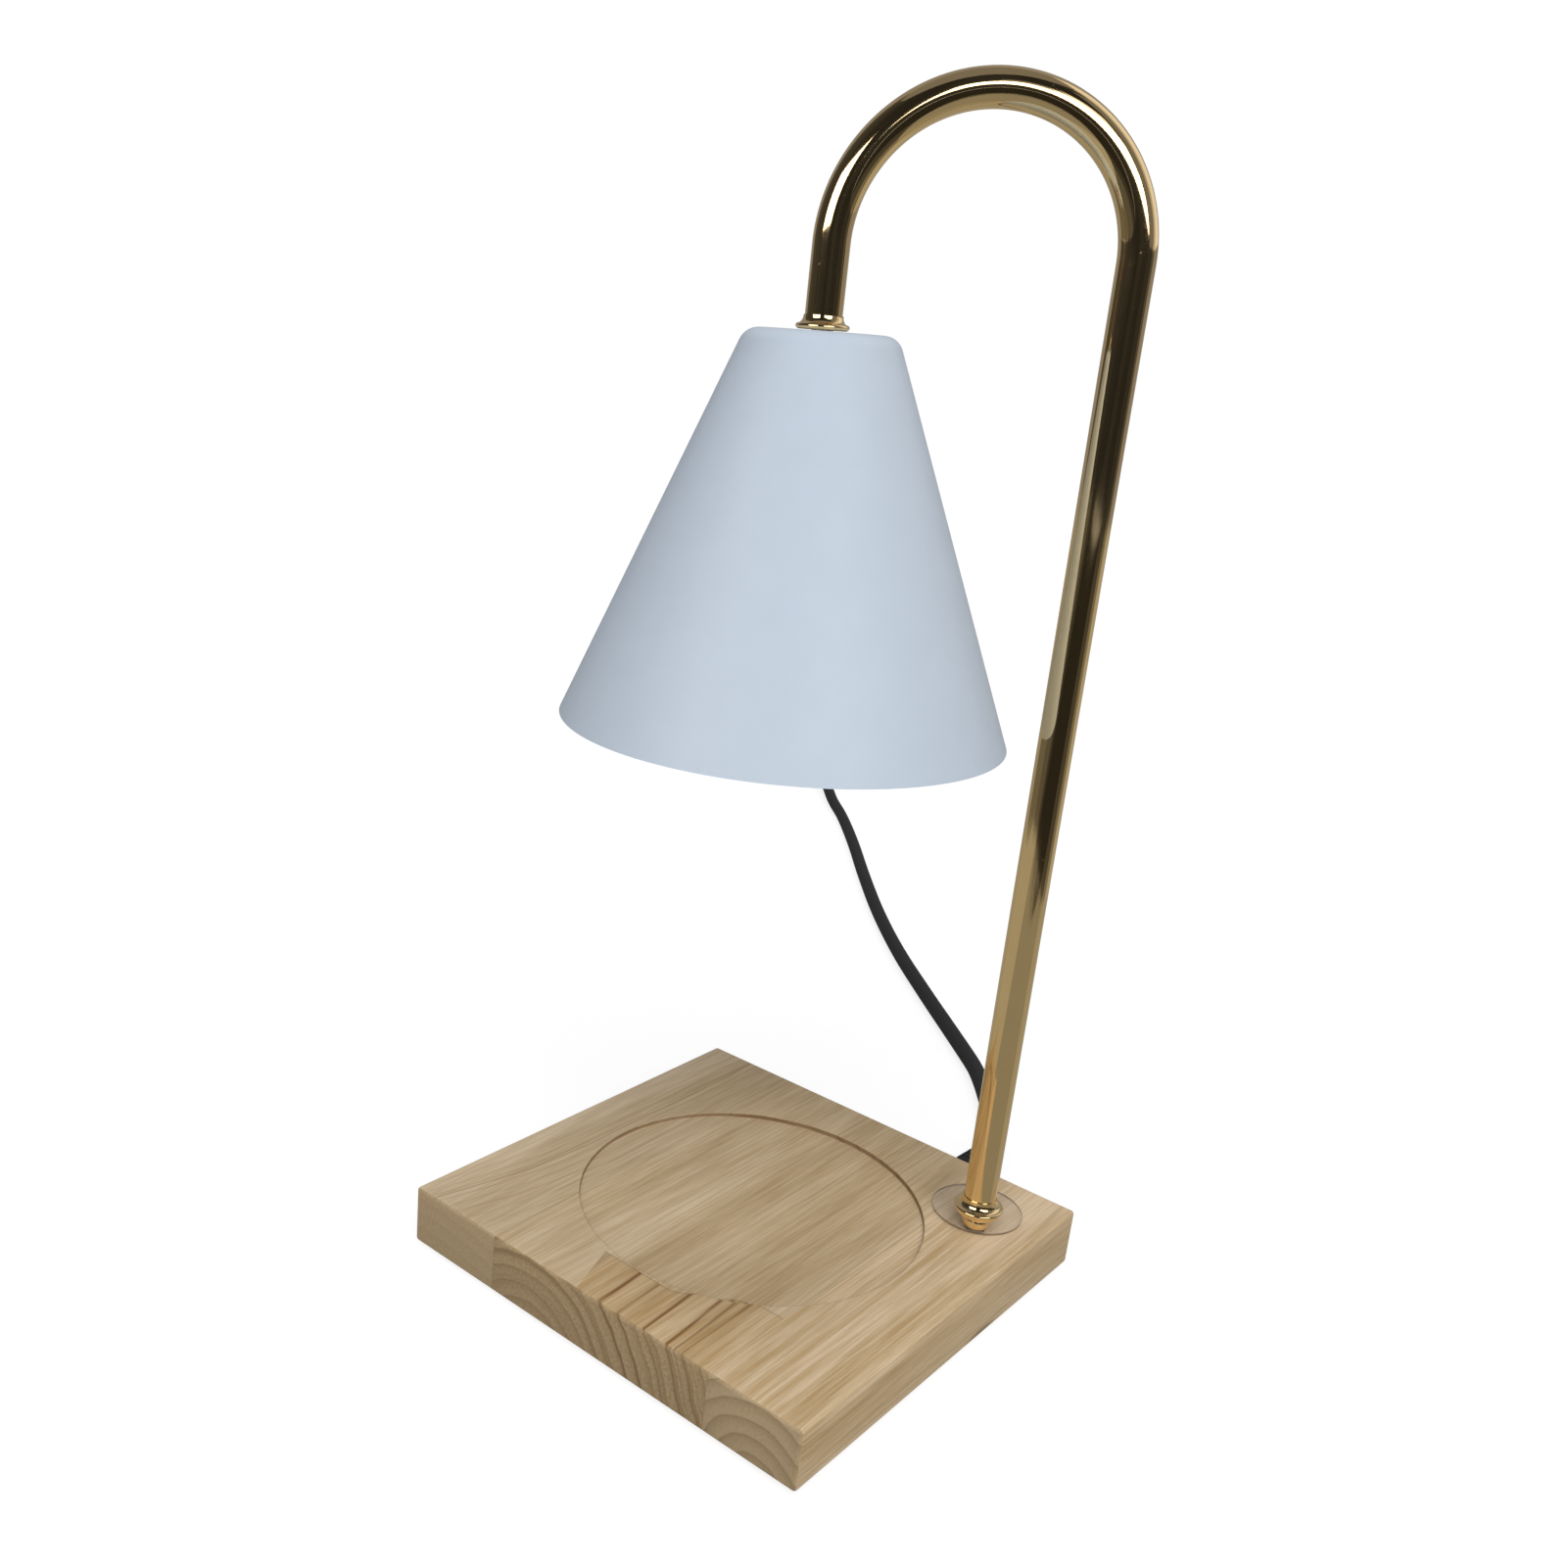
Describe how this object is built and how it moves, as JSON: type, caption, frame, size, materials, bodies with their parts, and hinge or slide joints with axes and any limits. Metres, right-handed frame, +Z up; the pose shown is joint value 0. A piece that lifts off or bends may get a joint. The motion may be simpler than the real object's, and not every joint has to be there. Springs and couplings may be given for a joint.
{
  "type": "candle warmer lamp",
  "caption": "Candle warmer lamp: square wooden base with a round jar seat, gold tube arched to a white cone shade with a halogen bulb, and a mains cord with an inline roller dimmer.",
  "frame": {"origin": "on the table, under the middle of the square base board", "axes": "+Z up along the pole, +X along the board's front end-grain edge towards the pole's side, +Y from the front edge to the back edge, where the cord leaves"},
  "size_m": [0.4784, 0.6322, 0.3255],
  "materials": {
    "wood": "clear matt lacquer on pale edge-glued, finger-jointed wood",
    "gold": "polished gold plating",
    "white_coat": "matt white powder coat",
    "clear_plastic": "clear, slightly cloudy",
    "zinc_steel": "zinc plated",
    "brass": "bare brass",
    "ceramic": "unglazed white ceramic",
    "glass": "clear glass",
    "reflector": "coated glass reflector",
    "black_rubber": "matt black moulded rubber",
    "black_plastic": "satin black moulding",
    "cord_jacket": "black round cord jacket",
    "circuit": "green circuit board",
    "brown_insulation": "brown core insulation",
    "blue_insulation": "blue core insulation"
  },
  "bodies": {
    "lamp": {"arm_bush": "brass", "base_board": "wood", "case_screw_1": "zinc_steel", "case_screw_2": "zinc_steel", "clamp_screw_1": "zinc_steel", "clamp_screw_2": "zinc_steel", "clamp_spacer_1": "black_plastic", "clamp_spacer_2": "black_plastic", "cord_clamp": "black_plastic", "cord_coil": "cord_jacket", "cord_inner": "cord_jacket", "cord_lead": "cord_jacket", "cord_link": "cord_jacket", "cord_relief": "black_rubber", "cord_tail": "cord_jacket", "cord_tie": "black_rubber", "cover_screw_1": "zinc_steel", "cover_screw_2": "zinc_steel", "dimmer_case_lower": "black_plastic", "dimmer_case_upper": "black_plastic", "dimmer_circuit": "circuit", "dimmer_sleeve_in": "black_rubber", "dimmer_sleeve_out": "black_rubber", "foot_collar": "gold", "foot_disc": "clear_plastic", "foot_pad_1": "black_rubber", "foot_pad_2": "black_rubber", "foot_pad_3": "black_rubber", "foot_pad_4": "black_rubber", "holder_bracket": "zinc_steel", "holder_screw_1": "zinc_steel", "holder_screw_2": "zinc_steel", "lamp_wire_live": "brown_insulation", "lamp_wire_neutral": "blue_insulation", "lampholder": "ceramic", "plug_blade_1": "brass", "plug_blade_2": "brass", "plug_body": "black_plastic", "plug_sleeve": "black_rubber", "pocket_cover": "black_plastic", "pole_bush": "brass", "pole_nipple": "zinc_steel", "pole_nut": "zinc_steel", "pole_tube": "gold", "pole_washer": "zinc_steel", "shade": "white_coat", "shade_collar": "gold", "shade_nipple": "zinc_steel", "shade_nut": "zinc_steel", "shade_washer": "zinc_steel", "wheel_axle": "zinc_steel"},
    "bulb": {"bulb_base": "ceramic", "bulb_pin_1": "zinc_steel", "bulb_pin_2": "zinc_steel", "bulb_reflector": "reflector", "bulb_lens": "glass", "bulb_capsule": "glass"},
    "wheel": {"dimmer_wheel": "black_plastic"}
  },
  "joints": [
    {"name": "bulb_twist", "type": "hinge", "parent": "lamp", "child": "bulb", "pos_m": [-0.00294, -0.00655, 0.2296], "axis": [0, 0, 1], "range_deg": [-45, 0]},
    {"name": "wheel_turn", "type": "hinge", "parent": "lamp", "child": "wheel", "pos_m": [-0.3215, 0.454, 0.0119], "axis": [-0.5, -0.866, 0], "range_deg": [0, 270]}
  ]
}
